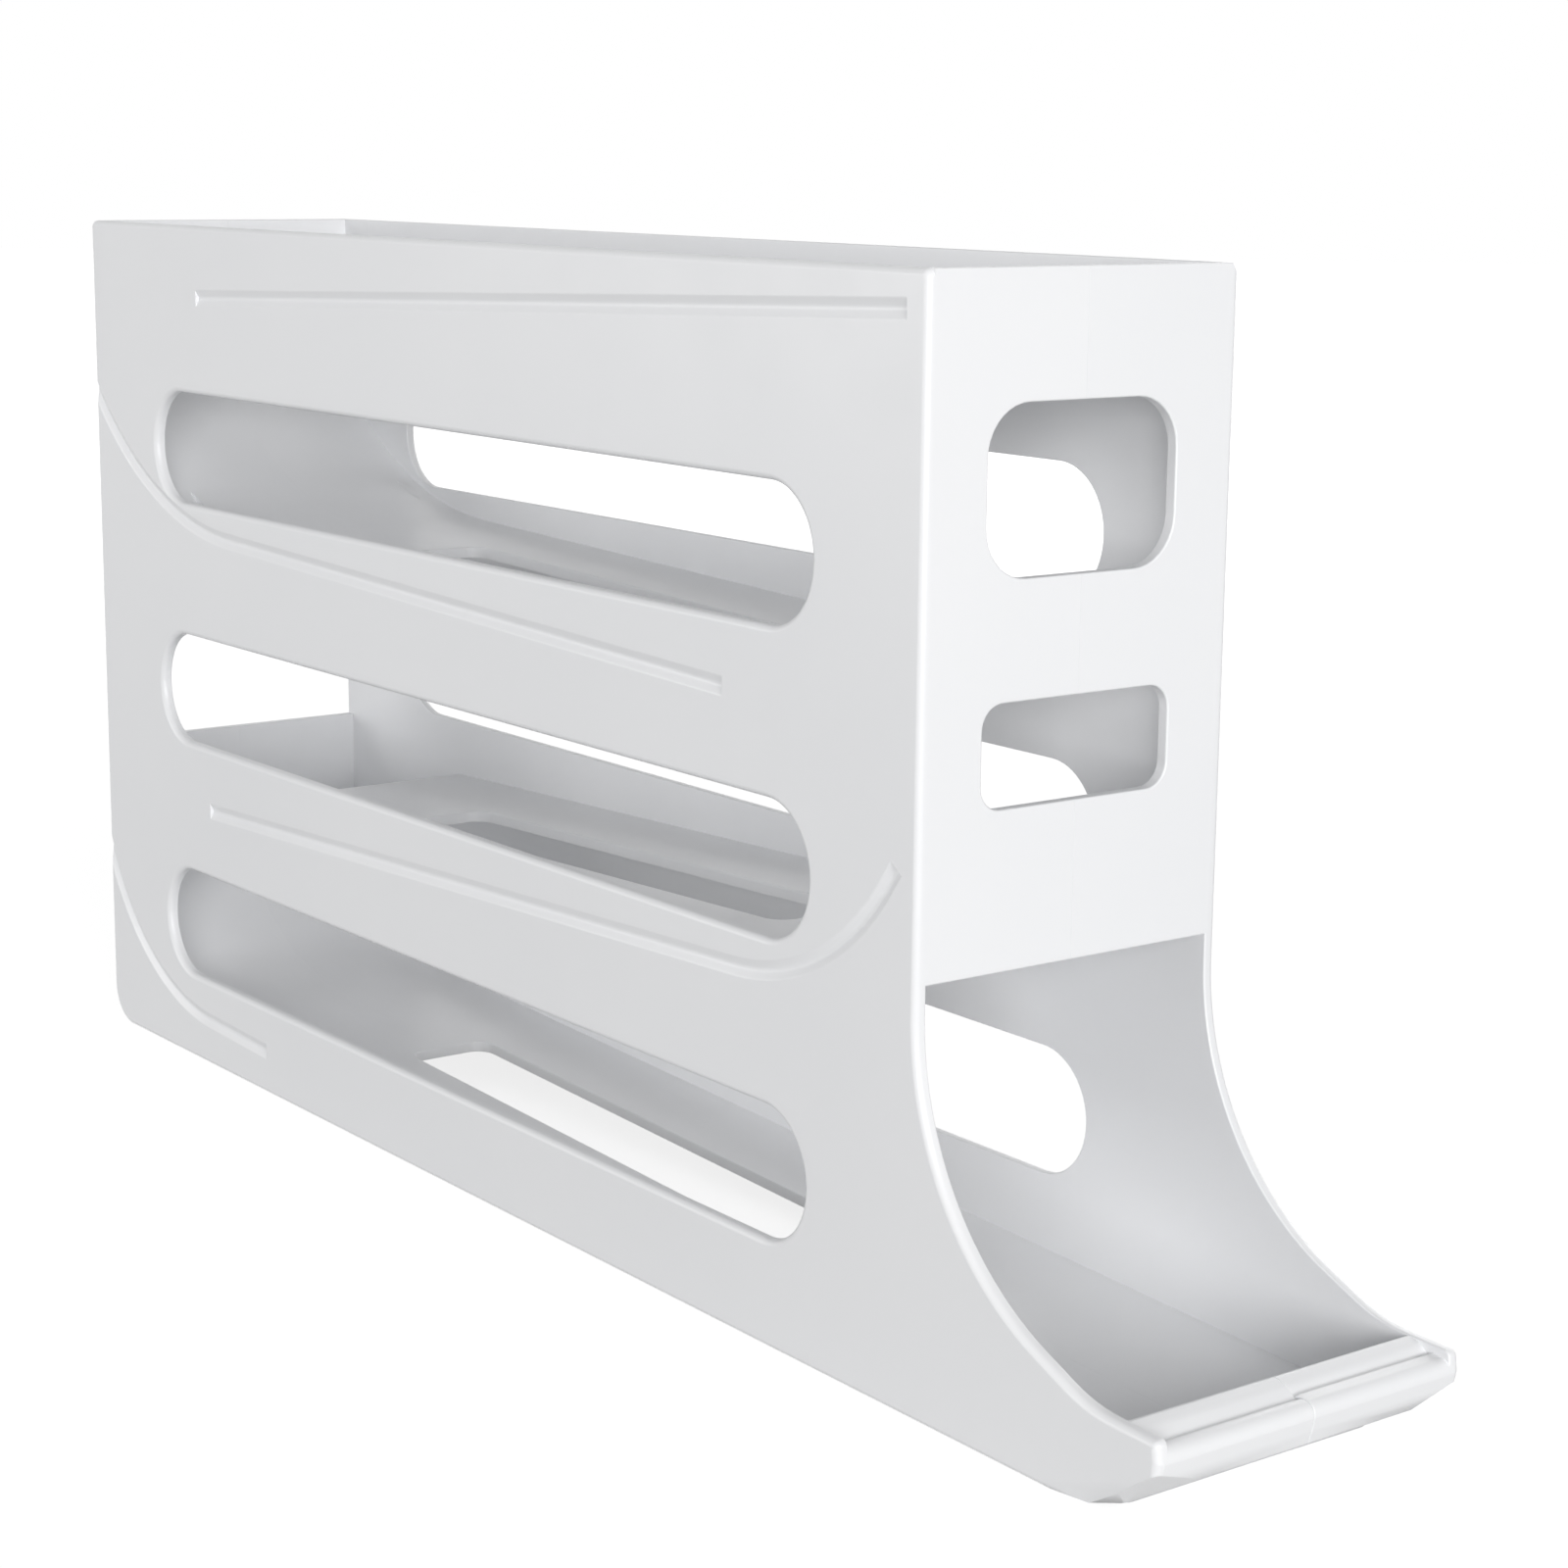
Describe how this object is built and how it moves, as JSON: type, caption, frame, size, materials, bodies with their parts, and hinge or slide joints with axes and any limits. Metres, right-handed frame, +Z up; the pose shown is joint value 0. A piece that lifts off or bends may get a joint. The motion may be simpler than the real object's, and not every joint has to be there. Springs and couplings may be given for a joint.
{
  "type": "rolling egg dispenser",
  "caption": "Upright rolling egg dispenser moulded in a left and a right half, with sloped ramps that carry eggs back and forth down to an open front tray with a stop lip.",
  "frame": {"origin": "middle of the overall length and width, on the surface that the dispenser stands on", "axes": "+Z up, -Y towards the dispensing lip, +X across the dispenser from its left half to its right half"},
  "size_m": [0.07, 0.3796, 0.197],
  "materials": {
    "shell_plastic": "satin white moulded plastic"
  },
  "bodies": {
    "left_half": {"left_side_panel": "shell_plastic", "left_front_plate": "shell_plastic", "left_ramp_1": "shell_plastic", "left_ramp_2": "shell_plastic", "left_ramp_3": "shell_plastic", "left_ramp_4": "shell_plastic", "left_upper_back_wall": "shell_plastic", "left_lower_back_wall": "shell_plastic", "left_lip": "shell_plastic", "left_joining_peg_1": "shell_plastic", "left_joining_peg_2": "shell_plastic", "left_joining_peg_3": "shell_plastic", "left_joining_peg_4": "shell_plastic", "left_joining_peg_5": "shell_plastic"},
    "right_half": {"right_side_panel": "shell_plastic", "right_front_plate": "shell_plastic", "right_ramp_1": "shell_plastic", "right_ramp_2": "shell_plastic", "right_ramp_3": "shell_plastic", "right_ramp_4": "shell_plastic", "right_upper_back_wall": "shell_plastic", "right_lower_back_wall": "shell_plastic", "right_lip": "shell_plastic", "right_joining_socket_1": "shell_plastic", "right_joining_socket_2": "shell_plastic", "right_joining_socket_3": "shell_plastic", "right_joining_socket_4": "shell_plastic", "right_joining_socket_5": "shell_plastic"}
  },
  "joints": [
    {"name": "right_half_pull_off", "type": "slide", "parent": "left_half", "child": "right_half", "axis": [1, 0, 0], "range_m": [0, 0.04]}
  ]
}
